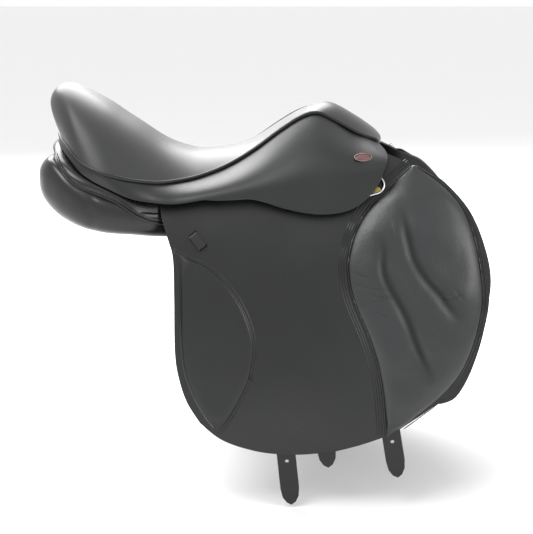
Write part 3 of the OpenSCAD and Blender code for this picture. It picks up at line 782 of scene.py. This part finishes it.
FACING_ROWS = Curve([
    # upper edge x, y, z under the skirt, then x and height of the lower edge on the panel
    (-206, 0, 126, -214, 113), (-203, -40, 124, -211, 112), (-196, -64, 119, -204, 107),
    (-181, -92, 106, -190, 91),
    (-163, -111, 91, -172, 74.5), (-143, -120, 79, -148, 64), (-118, -124, 67, -118, 52),
    (-92, -121, 60, -90, 34),
    (-62, -112, 53, -56, 10),
])
STRAP_TOPS = {"rear_strap": (75, 20), "middle_strap": (125, 20), "front_strap": (200, 20)}
STRAP_TIPS = {"rear_strap": (114, -348), "middle_strap": (163, -295), "front_strap": (256, -309)}


def offset_line(line: Curve, away: float) -> Curve:
    """Line beside another on the side of the saddle.

    Args:
        line: Curve in X and Z.
        away: Distance to the left of its direction, in millimetres.

    Returns:
        The new curve.
    """
    points = []
    for i in range(25):
        share = i / 24
        run = line.at(min(share + 0.01, 1)) - line.at(max(share - 0.01, 0))
        points.append(line.at(share) + Vector((-run[1], run[0])).normalized() * away)
    return Curve(points, 4)


def side_route(line: Curve, t: float) -> Callable[[float], Vector]:
    """Route on the side of the saddle at layer t."""
    return lambda share: on_side(line.at(share)[0], line.at(share)[1], t)


def side_out(line: Curve) -> Callable[[float], Vector]:
    """Direction out of the side of the saddle along a line."""
    return lambda share: Vector((0, -math.cos(math.asin((line.at(share)[1] - SIDE_Z) / SIDE_R)), 0.45))


# ------------------------------------------------------------------ seat and skirts
@dataclass(frozen=True)
class Seat:
    """The cushioned seat and the welt round it."""

    power: float = 2.6
    tuck: float = 4.0
    leather: float = 2.5
    welt_r: float = 2.6
    welt_drop: float = 2.2

    def surface(self, across: float, along: float) -> Vector:
        """Point on the top of the seat."""
        row = SEAT_ROWS.row(along * 24)
        t = (across * 2 - 1) * 1.06
        q = math.sin(math.pi / 2 * max(min(t, 1.0), -1.0))
        over = max(abs(t) - 1, 0) / 0.06 * self.tuck
        power = blend_between(3.0, self.power, smooth(0.2, 0.45, along))
        fall = abs(q) ** power
        reach = row[1] * q - math.copysign(over * 0.6, t) * (1 if row[1] > 5 else 0)
        return Vector((row[3] - (row[3] - row[0]) * fall, reach, row[4] - (row[4] - row[2]) * fall - over))

    def build(self) -> None:
        """Make the seat and the welt round it."""
        bm = mapped(self.surface, 72, 150)
        bmesh.ops.remove_doubles(bm, verts=bm.verts, dist=0.01 * MM)
        face_out(bm, Vector((0, 0, 1)))
        Piece("seat", bm, Finish.SEAT, thickness=self.leather, replaces=("seat_cover", "seat_foam"),
              smooth_angle=60).build()

        def welt(share: float) -> Vector:
            """Point on the welt, from one side of the pommel round the cantle to the other."""
            end = (share * 2 - 1) * 22
            row = SEAT_ROWS.row(abs(end))
            return Vector((row[0], math.copysign(row[1], end), row[2] - self.welt_drop))

        cord = tube(welt, self.welt_r, 320)
        Piece("seat_welt", cord, Finish.PIPING, replaces=("seat_piping_right", "seat_piping_left")).build()


@dataclass(frozen=True)
class Skirt:
    """The skirt round the seat, and the lobe that lifts off the stirrup bar."""

    rows: int = 18
    bend: float = 12.0
    thread_in: float = 4.5
    thread_length: float = 250.0

    def upper(self, across: float, along: float) -> Vector:
        """Point on the outer face of the fixed part, from the welt to the fold."""
        row = SKIRT_ROWS.row(along * self.rows)
        top, foot = Vector(row[:3]), Vector(row[3:])
        round_back = smooth(4.5, 0.5, along * self.rows)
        to_side = smooth(0.0, 3.5, along * self.rows)
        outwards = Vector((-1, 0, 0)).lerp(Vector((0, -1, 0)), to_side).normalized()
        top += -outwards * 1.5 + Vector((0, 0, -2.5))
        size = (foot - top).length
        leave = (outwards * 0.75 + Vector((0, 0, -0.5))) * size
        arrive = Fold.turn @ Vector((0, -math.cos(LOBE_LEAN), -math.sin(LOBE_LEAN)))
        free = Vector((0, 0, -1)) - outwards * 0.1
        arrive = arrive.lerp(free.normalized(), smooth(7.5, 5.0, along * self.rows)) * size * 0.9
        t = across
        place = (
            top * (2 * t**3 - 3 * t**2 + 1) + leave * (t**3 - 2 * t**2 + t)
            + foot * (3 * t**2 - 2 * t**3) + arrive * (t**3 - t**2)
        )
        front = smooth(15.5, 18, along * self.rows)
        place.x += 10 * front * math.sin(math.pi * t)
        return place - outwards * round_back * 0.8 * math.sin(math.pi * t)

    def lobe(self, across: float, along: float) -> Vector:
        """Point on the outer face of the lobe, from the fold to its edge."""
        depth = max(LOBE_DEPTH(along * LOBE_LENGTH), 0.4) * across
        edge = smooth(0.82, 1.0, across) * 0.6
        u = LOBE_REAR + along * LOBE_LENGTH
        return Fold.point(u, -depth * math.cos(LOBE_LEAN), -depth * math.sin(LOBE_LEAN) - edge)

    def make_upper(self, side: Side) -> Piece:
        """The fixed part on one side."""
        bm = mapped(self.upper, 24, 190)
        face_out(bm, Vector((0, -1, 0.5)))
        fold_start = Fold.point(0, self.bend, 0)
        return Piece("skirt_upper", bm, Finish.SKIRT, thickness=SKIRT_T, side=side,
                     bend=(ROOT, "flap", fold_start, Fold.point(0, 0, 0)), replaces=("skirt",))

    def make_lobe(self, side: Side) -> Piece:
        """The lifting part on one side."""
        bm = mapped(self.lobe, 26, 130)
        face_out(bm, Vector((0, -1, 0.5)))
        return Piece("skirt_lobe_leather", bm, Finish.SKIRT, thickness=SKIRT_T, side=side,
                     bend=("flap", "skirt_lobe", Fold.point(0, 0, 0), Fold.point(0, -self.bend, 0)),
                     replaces=("skirt_lobe",))

    def make_thread(self, side: Side) -> Piece:
        """The row of stitches along the edge of the lobe."""
        def route(share: float) -> Vector:
            """Point of the row, a little inside the edge."""
            u = 8 + share * (LOBE_LENGTH - 20)
            depth = max(LOBE_DEPTH(u) - self.thread_in, 0.5)
            down, inwards = depth * math.cos(LOBE_LEAN), depth * math.sin(LOBE_LEAN)
            return Fold.point(LOBE_REAR + u, -down, -inwards + 0.1)

        bm = stitches(route, self.thread_length, lambda share: Fold.turn @ Vector((0, -0.15, 1)))
        return Piece("skirt_thread", bm, Finish.THREAD, "skirt_lobe", side=side)

    def build(self) -> None:
        """Make both sides."""
        both_sides(self.make_upper)
        both_sides(self.make_lobe)
        both_sides(self.make_thread)


@dataclass(frozen=True)
class Badge:
    """A plain oval plaque with a raised rim on each skirt."""

    centre: tuple = (208.0, 108.0)
    half: tuple = (11.8, 5.8)
    tilt: float = math.radians(15)
    rim_r: float = 1.0
    rim_rise: float = 1.2

    def build(self) -> None:
        """Make the plaque and the rim on both sides."""
        skirt = Skirt()
        hit = min(
            (skirt.upper(i / 40, j / 160) for i in range(41) for j in range(100, 161)),
            key=lambda p: (p.x - self.centre[0]) ** 2 + (p.z - self.centre[1]) ** 2,
        )
        normal = Vector((0.18, -0.72, 0.67)).normalized()
        long = (Vector((math.cos(self.tilt), 0, math.sin(self.tilt))) - normal * 0.2).normalized()
        long = (long - normal * long.dot(normal)).normalized()
        short = normal.cross(long)

        def oval(size: float, share: float) -> Vector:
            """Place on the plaque, with size 0 at its middle and 1 at its rim."""
            a = share * math.tau
            return hit + (long * self.half[0] * math.cos(a) + short * self.half[1] * math.sin(a)) * size

        def plaque(across: float, along: float) -> Vector:
            """Point on the domed face."""
            rise = 1.7 * (1 - across**4) - 1.5 * across**12
            return oval(across, along) + normal * (0.6 + rise)

        def make_plaque(side: Side) -> Piece:
            """The plaque."""
            bm = mapped(plaque, 10, 48)
            weld(bm, 0.02)
            face_out(bm, normal)
            return Piece("badge", bm, Finish.BADGE, side=side, smooth_angle=60)

        def make_rim(side: Side) -> Piece:
            """The raised rim."""
            def ring(around: float, along: float) -> Vector:
                """Point on the rim's skin."""
                here, a = oval(1.0, along), around * math.tau
                out = (here - hit).normalized() * math.cos(a) + normal * math.sin(a)
                return here + normal * self.rim_rise + out * self.rim_r

            bm = mapped(ring, 10, 64)
            weld(bm, 0.01)
            return Piece("badge_rim", bm, Finish.BADGE_RIM, side=side)

        plaques = both_sides(make_plaque)
        both_sides(make_rim)
        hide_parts("blank_badges")


# ------------------------------------------------------------------ flaps
def cushion(inner: Curve, outer: Curve, top: Callable[[float, float, float, float], float], base: float,
            columns: int, rows: int) -> bmesh.types.BMesh:
    """A soft pad between two lines on the side of the saddle.

    Args:
        inner: One edge, in X and Z.
        outer: The other edge.
        top: Layer of the top for X, Z, share across and share along.
        base: Layer of its underside.
        columns: Faces across, counting both faces of the pad.
        rows: Faces along.

    Returns:
        The closed mesh.
    """
    split = 0.78

    def place(share: float, along: float) -> Vector:
        """Point on the pad, first over its top and then back below it."""
        across = share / split if share < split else (1 - share) / (1 - split)
        x, z = inner.at(along).lerp(outer.at(along), across)
        on_top = 1e-6 < across < 1 - 1e-6 and share < split
        return on_side(x, z, top(x, z, across, along) if on_top else base)

    bm = mapped(place, columns, rows)
    weld(bm, 0.02)
    return bm


@dataclass(frozen=True)
class Flap:
    """The big flap, its knee and thigh pads, keeper and stitching."""

    knee_height: float = 13.0
    thigh_height: float = 3.0
    notch_rear: float = -8.0
    notch_front: float = 72.0
    notch_depth: float = 28.0
    thread_in: float = 4.2
    folds: Nearest = field(default_factory=lambda: Nearest(*KNEE_FOLDS))
    creases: Nearest = field(default_factory=lambda: Nearest(*KNEE_CREASES))
    seam: Nearest = field(default_factory=lambda: Nearest(KNEE_IN))

    def level(self, x: float, z: float) -> float:
        """Layer of the flap's outer face, which rises to the knee seam and waves outwards a little."""
        roll = self.seam.groove(x, z, 26) * smooth(10, -90, z) * 3.0
        sway = max(noise.noise(Vector((x / 110, z / 110, 4))) + 0.3, 0) * 2.0 * smooth(40, -10, z)
        return FLAP_OUT + roll + sway

    def route(self, line: Curve, above: float) -> Callable[[float], Vector]:
        """Route along a line that stays a little above the flap's outer face."""
        def at(share: float) -> Vector:
            """Point of the route."""
            x, z = line.at(share)
            return on_side(x, z, self.level(x, z) + above)

        return at

    def surface(self, across: float, along: float) -> Vector:
        """Point on the outer face of the flap, by a patch between its four edges."""
        rear, front = FLAP_REAR.at(along), FLAP_FRONT.at(along)
        top, low = FLAP_TOP.at(across), FLAP_LOW.at(across)
        rear = rear + (FLAP_TOP.at(0) - FLAP_REAR.at(0)) * (1 - smooth(0, 0.08, along))
        corners = (
            FLAP_TOP.at(0) * (1 - across) * (1 - along) + FLAP_TOP.at(1) * across * (1 - along)
            + FLAP_LOW.at(0) * (1 - across) * along + FLAP_LOW.at(1) * across * along
        )
        x, z = rear * (1 - across) + front * across + top * (1 - along) + low * along - corners
        return on_side(x, z, self.level(x, z))

    def make_flap(self, side: Side) -> Piece:
        """The flap itself, with its top strip and the notch round the stirrup bar."""
        bm = mapped(self.surface, 110, 110)
        face_out(bm, Vector((0, -1, 0)))
        for u, direction in ((self.notch_rear, 1), (self.notch_front, -1)):
            bmesh.ops.bisect_plane(
                bm, geom=[*bm.verts, *bm.edges, *bm.faces], plane_co=Fold.point(u, 0, 0) * MM,
                plane_no=Fold.turn @ Vector((direction, 0, 0)),
            )
        bmesh.ops.bisect_plane(
            bm, geom=[*bm.verts, *bm.edges, *bm.faces], plane_co=Fold.point(0, -self.notch_depth, 0) * MM,
            plane_no=Fold.turn @ Vector((0, 1, 0)),
        )
        back = Fold.turn.transposed()
        cut = []
        for f in bm.faces:
            place = back @ (f.calc_center_median() / MM - Fold.origin)
            if self.notch_rear < place.x < self.notch_front and place.y > -self.notch_depth:
                cut.append(f)
        bmesh.ops.delete(bm, geom=cut, context="FACES")
        bend = (ROOT, "flap", Fold.point(0, 15, 0), Fold.point(0, 0, 0))
        return Piece("flap_leather", bm, Finish.FLAP, thickness=FLAP_T, bevel=1.2, side=side, bend=bend,
                     replaces=("flap", "flap_top"))

    def knee_top(self, x: float, z: float, across: float, along: float) -> float:
        """Layer of the knee pad's surface."""
        cross = (1 - abs(2 * across - 1) ** 2.6) ** 0.6
        ends = smooth(0, 0.16, along) * smooth(1, 0.93, along)
        fold = self.folds.groove(x, z, 8.0) * 3.4 - self.folds.groove(x, z, 26) * 1.2
        crease = self.creases.groove(x, z, 1.8) * 0.6
        sag = noise.noise(Vector((x / 42, z / 42, 0))) * 1.4 + noise.noise(Vector((x / 16, z / 16, 2))) * 0.15
        inside = smooth(0, 0.14, across) * smooth(1, 0.86, across)
        crown = self.knee_height * cross * (0.25 + 0.75 * ends)
        return self.level(x, z) - 0.2 + crown + (sag - fold - crease) * inside

    def make_knee(self, side: Side) -> Piece:
        """The knee pad."""
        bm = cushion(KNEE_IN, KNEE_OUT, self.knee_top, FLAP_OUT - 1.0, 130, 200)
        # Mask of the pad's creases and folds, where the finish paints shade and makes the leather rougher.
        crease = bm.verts.layers.float.new("crease")
        for v in bm.verts:
            x, z = v.co.x / MM, v.co.z / MM
            v[crease] = min(self.creases.groove(x, z, 1.2) * 0.25 + self.folds.groove(x, z, 6.0) * 0.8, 1.0)
        return Piece("knee_pad_leather", bm, Finish.PAD, "flap", side=side, replaces=("knee_pad",),
                     smooth_angle=60)

    def thigh_top(self, x: float, z: float, across: float, along: float) -> float:
        """Layer of the thigh pad's surface."""
        cross = (1 - abs(2 * across - 1) ** 3.5) ** 0.6
        crown = self.thigh_height * cross * smooth(0, 0.1, along) * smooth(1, 0.9, along)
        return self.level(x, z) - 0.3 + crown

    def make_thigh(self, side: Side) -> Piece:
        """The thin thigh pad."""
        bm = cushion(THIGH_EDGE, THIGH_SEAM, self.thigh_top, FLAP_OUT - 1.0, 50, 90)
        return Piece("thigh_pad_leather", bm, Finish.FLAP, "flap", side=side, replaces=("thigh_pad",),
                     smooth_angle=60)

    def make_piping(self, side: Side) -> Piece:
        """The piped seams round the knee pad."""
        cords = [tube(self.route(KNEE_IN, 0.6), 1.7, 150, 8), tube(self.route(KNEE_OUT, 0.5), 1.6, 170, 8)]
        return Piece("knee_piping", merged(cords), Finish.PIPING, "flap", side=side)

    def make_lines(self, side: Side) -> Piece:
        """The raised lines pressed into the flap beside the seams."""
        lines = [(offset_line(KNEE_IN, -away), 0.75) for away in (5.0, 8.2, 11.4)]
        front = offset_line(KNEE_OUT, 4.5)
        lines += [(Curve([front.at(0.2 + 0.76 * i / 20) for i in range(21)], 6), 0.7)]
        lines += [(offset_line(THIGH_SEAM, away), 1.0) for away in (0.0, 3.6)]
        lines += [(THIGH_EDGE, 1.5)]
        cords = [tube(self.route(line, 0.05), size, 120, 6) for line, size in lines]
        return Piece("flap_lines", merged(cords), Finish.FLAP, "flap", side=side)

    def make_thread(self, side: Side) -> Piece:
        """The stitching round the edge of the flap."""
        points = [FLAP_REAR.at(i / 12) for i in range(2, 13)]
        points += [FLAP_LOW.at(i / 14) for i in range(1, 15)]
        points += [FLAP_FRONT.at(1 - i / 14) for i in range(1, 11)]
        edge = Curve(points, 6)
        line = offset_line(edge, self.thread_in)
        bm = stitches(self.route(line, 0.15), edge.length, side_out(line))
        return Piece("flap_thread", bm, Finish.THREAD, "flap", side=side)

    def make_keeper(self, side: Side) -> Piece:
        """The small slanting keeper for the stirrup leather."""
        low, high = Vector((-2.5, -5.5)), Vector((-18, 13.5))

        def place(across: float, along: float) -> Vector:
            """Point on the outer face of the keeper."""
            x, z = low.lerp(high, along)
            ends = min(along, 1 - along) / 0.12
            rise = 6.5 * min(1.0, math.sqrt(max(0.0, 1 - max(0.0, 1 - ends) ** 2)))
            x, z = x + (across - 0.5) * 9.5, z + (across - 0.5) * 7
            return on_side(x, z, self.level(x, z) + 0.2 + rise)

        bm = mapped(place, 6, 40)
        face_out(bm, Vector((0, -1, 0)))
        return Piece("keeper_leather", bm, Finish.STRAP, "flap", thickness=2.2, bevel=0.6, side=side,
                     replaces=("keeper",))

    def build(self) -> None:
        """Make everything on both flaps."""
        both_sides(self.make_flap)
        for pad in both_sides(self.make_knee) + both_sides(self.make_thigh):
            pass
        both_sides(self.make_piping)
        both_sides(self.make_lines)
        both_sides(self.make_thread)
        both_sides(self.make_keeper)


# ------------------------------------------------------------------ underside
@dataclass(frozen=True)
class Panels:
    """The flocked panels, their piping, and the rolled facing under the cantle."""

    square: float = 3.3
    dent: tuple = (-150.0, 38.0)
    facing: float = 2.0

    def surface(self, around: float, along: float) -> Vector:
        """Point on the panel's skin."""
        x, y, z, a, b, tilt = PANEL_STATIONS.row(along * PANEL_LAST)
        angle = around * math.tau
        c, s = math.cos(angle), math.sin(angle)
        px = math.copysign(abs(c) ** (2 / self.square), c) * a
        pz = math.copysign(abs(s) ** (2 / self.square), s) * b
        place = Vector((x, y, z)) + Matrix.Rotation(math.radians(tilt), 3, "X") @ Vector((0, px, pz))
        outwards = Vector((0, place.y - y, place.z - z)).normalized()
        lumps = noise.noise(place / 38) * 1.2
        dent = math.exp(-(((place.x - self.dent[0]) / 6) ** 2) - (((place.z - self.dent[1]) / 18) ** 2)) * 2.4
        quiet = smooth(0, 0.04, along) * smooth(1, 0.95, along)
        return place + outwards * (lumps - dent * (1 if outwards.y < 0 else 0)) * quiet

    def seam(self, x: float, z: float) -> Vector:
        """Point on the outer half of the skin at X and height z."""
        along = min((i / 170 for i in range(100)), key=lambda s: abs(self.surface(0.5, s).x - x))
        return min((self.surface(0.25 + i / 240, along) for i in range(60)), key=lambda p: abs(p.z - z))

    def seam_line(self) -> Curve:
        """The seam along the top of the panel, from the middle of the back to the flap."""
        rows = [FACING_ROWS.row(i / 2) for i in range(17)]
        points = [Vector((rows[0][3], 0, rows[0][4])), Vector((rows[2][3], -38, rows[2][4]))]
        return Curve(points + [self.seam(row[3], row[4]) for row in rows[4:]])

    def make_panel(self, side: Side) -> Piece:
        """One panel."""
        bm = mapped(self.surface, 72, 170)
        weld(bm, 0.02)
        return Piece("panel_skin", bm, Finish.PANEL, side=side, replaces=("panel",), smooth_angle=70)

    def make_welt(self, side: Side) -> Piece:
        """The two lines of piping along the panel's top seam."""
        seam = self.seam_line()
        cords = [tube(lambda s: seam.at(s) + Vector((0, -0.6, 0.4)), 1.9, 160, 10),
                 tube(lambda s: seam.at(s) + Vector((0.8, -1.2, 4.6)), 1.5, 160, 8)]
        return Piece("panel_welt", merged(cords), Finish.PIPING, side=side, replaces=("panel_piping",))

    def make_facing(self, side: Side) -> Piece:
        """The polished roll of leather between the skirt and the panel."""
        seam = self.seam_line()

        def place(across: float, along: float) -> Vector:
            """Point on the roll, from the skirt down to the panel."""
            row = FACING_ROWS.row(along * 8)
            outwards = Vector((-1, 0, 0)).lerp(Vector((0, -1, 0)), smooth(0.0, 0.5, along)).normalized()
            bulge = blend_between(6.5, 1.0, smooth(0.45, 0.9, along)) * math.sin(math.pi * across) ** 0.8
            return Vector(row[:3]).lerp(seam.at(along), across) + outwards * bulge

        bm = mapped(place, 20, 120)
        face_out(bm, Vector((-0.5, -1, 0)))
        return Piece("cantle_roll_leather", bm, Finish.ROLL, thickness=self.facing, side=side)

    def build(self) -> None:
        """Make the panels and what joins them to the seat."""
        for panel in both_sides(self.make_panel):
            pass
        both_sides(self.make_welt)
        rolls = both_sides(self.make_facing)
        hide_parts("cantle_roll")


@dataclass(frozen=True)
class Straps:
    """Stitching along the girth straps."""

    half_width: float = 12.5
    inset: float = 3.2
    layer: float = 9.6

    def make(self, name: str) -> None:
        """Both edges of one strap on both sides."""
        top, tip = Vector(STRAP_TOPS[name]), Vector(STRAP_TIPS[name])
        run = (tip - top).normalized()
        side_step = Vector((-run[1], run[0])) * (self.half_width - self.inset)

        def thread(side: Side) -> Piece:
            """The two rows of stitches on one side of the saddle."""
            rows = []
            for sign in (-1, 1):
                line = Curve([top + side_step * sign + run * 6, tip + side_step * sign - run * 22], 40)
                rows.append(stitches(side_route(line, self.layer), line.length, side_out(line)))
            return Piece(f"{name}_thread", merged(rows), Finish.THREAD, name, side=side)

        both_sides(thread)

    def build(self) -> None:
        """Stitch the three straps."""
        for name in STRAP_TOPS:
            self.make(name)


WORKING_FINISHES = {
    "tree_rivets": Finish.STEEL, "tree_": Finish.WOOD, "head_plate": Finish.DARK_STEEL,
    "gullet_plate": Finish.DARK_STEEL, "spring_steel": Finish.DARK_STEEL, "stirrup_bar": Finish.STEEL,
    "bar_catch": Finish.STEEL, "catch_pins": Finish.STEEL, "dee_ring": Finish.STEEL,
    "dee_plate": Finish.BRASS, "seat_webs": Finish.WEB, "girth_webs": Finish.WEB,
    "head_facing": Finish.ROLL, "sweat_flap": Finish.SWEAT,
}


@dataclass(frozen=True)
class WorkingParts:
    """Finishes for the working parts that stay in sight."""

    other: Finish = Finish.STRAP

    def build(self) -> None:
        """Put a finish on each of them."""
        for name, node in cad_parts.items():
            chosen = (f for start, f in WORKING_FINISHES.items() if name.startswith(start))
            finish = next(chosen, self.other)
            node.data.materials.clear()
            node.data.materials.append(finish.material())


@dataclass(frozen=True)
class Studio:
    """Pale floor, soft lights and the camera. Its sizes are in metres."""

    target: tuple = (0.0803, 0.0, -0.0639)
    distance: float = 1.648
    elevation: float = math.radians(13)
    lens: float = 76.66
    floor_z: float = -0.352
    floor_half: float = 400.0

    def light(self, name: str, place: tuple, size: float, power: float) -> bpy.types.Object:
        """An area light that looks at the saddle.

        Args:
            name: Its name.
            place: Where it stands, in metres.
            size: Its width in metres.
            power: Its power in watts.

        Returns:
            The light.
        """
        data = bpy.data.lights.new(name, "AREA")
        data.shape = "DISK"
        data.size = size
        data.energy = power
        lamp = bpy.data.objects.new(name, data)
        bpy.context.scene.collection.objects.link(lamp)
        lamp.location = place
        lamp.rotation_euler = (Vector(self.target) - Vector(place)).to_track_quat("-Z", "Y").to_euler()
        return lamp

    def build(self) -> None:
        """Set the stage."""
        bm = bmesh.new()
        bmesh.ops.create_grid(bm, x_segments=4, y_segments=4, size=self.floor_half)
        bmesh.ops.translate(bm, verts=bm.verts, vec=(0, 0, self.floor_z))
        data = bpy.data.meshes.new("floor")
        bm.to_mesh(data)
        bm.free()
        floor = bpy.data.objects.new("floor", data)
        bpy.context.scene.collection.objects.link(floor)
        paint = Shader("floor_paint")
        speckle = paint.noise(3.0)
        colour = paint.mix(speckle, (0.86, 0.86, 0.86), (0.88, 0.88, 0.88))
        paint.set(Base_Color=colour, Roughness=0.9)
        floor.data.materials.append(paint.material)
        lamps = [
            self.light("key", (-1.0, -1.2, 2.2), 1.5, 34),
            self.light("fill", (2.2, -1.6, 1.2), 1.3, 16),
            self.light("back", (-0.5, 1.7, 1.7), 2.4, 110),
        ]
        world = bpy.data.worlds.new("studio")
        world.use_nodes = True
        world.node_tree.nodes["Background"].inputs["Color"].default_value = (1, 1, 1, 1)
        world.node_tree.nodes["Background"].inputs["Strength"].default_value = 1.0
        bpy.context.scene.world = world
        bpy.context.scene.view_settings.view_transform = "Standard"
        lens = bpy.data.cameras.new("camera")
        lens.lens = self.lens
        camera = bpy.data.objects.new("camera", lens)
        bpy.context.scene.collection.objects.link(camera)
        away = Vector((0, -math.cos(self.elevation), math.sin(self.elevation)))
        camera.location = Vector(self.target) + away * self.distance
        camera.rotation_euler = (-away).to_track_quat("-Z", "Y").to_euler()
        bpy.context.scene.camera = camera


def main() -> None:
    """Dress the saddle and set the stage."""
    WorkingParts().build()
    Seat().build()
    Skirt().build()
    Badge().build()
    Flap().build()
    Panels().build()
    Straps().build()
    Studio().build()


def corners(bounds: tuple) -> list:
    """Lowest and highest corner as plain lists."""
    return [list(corner) for corner in bounds]


if __name__ == "__main__":
    main()
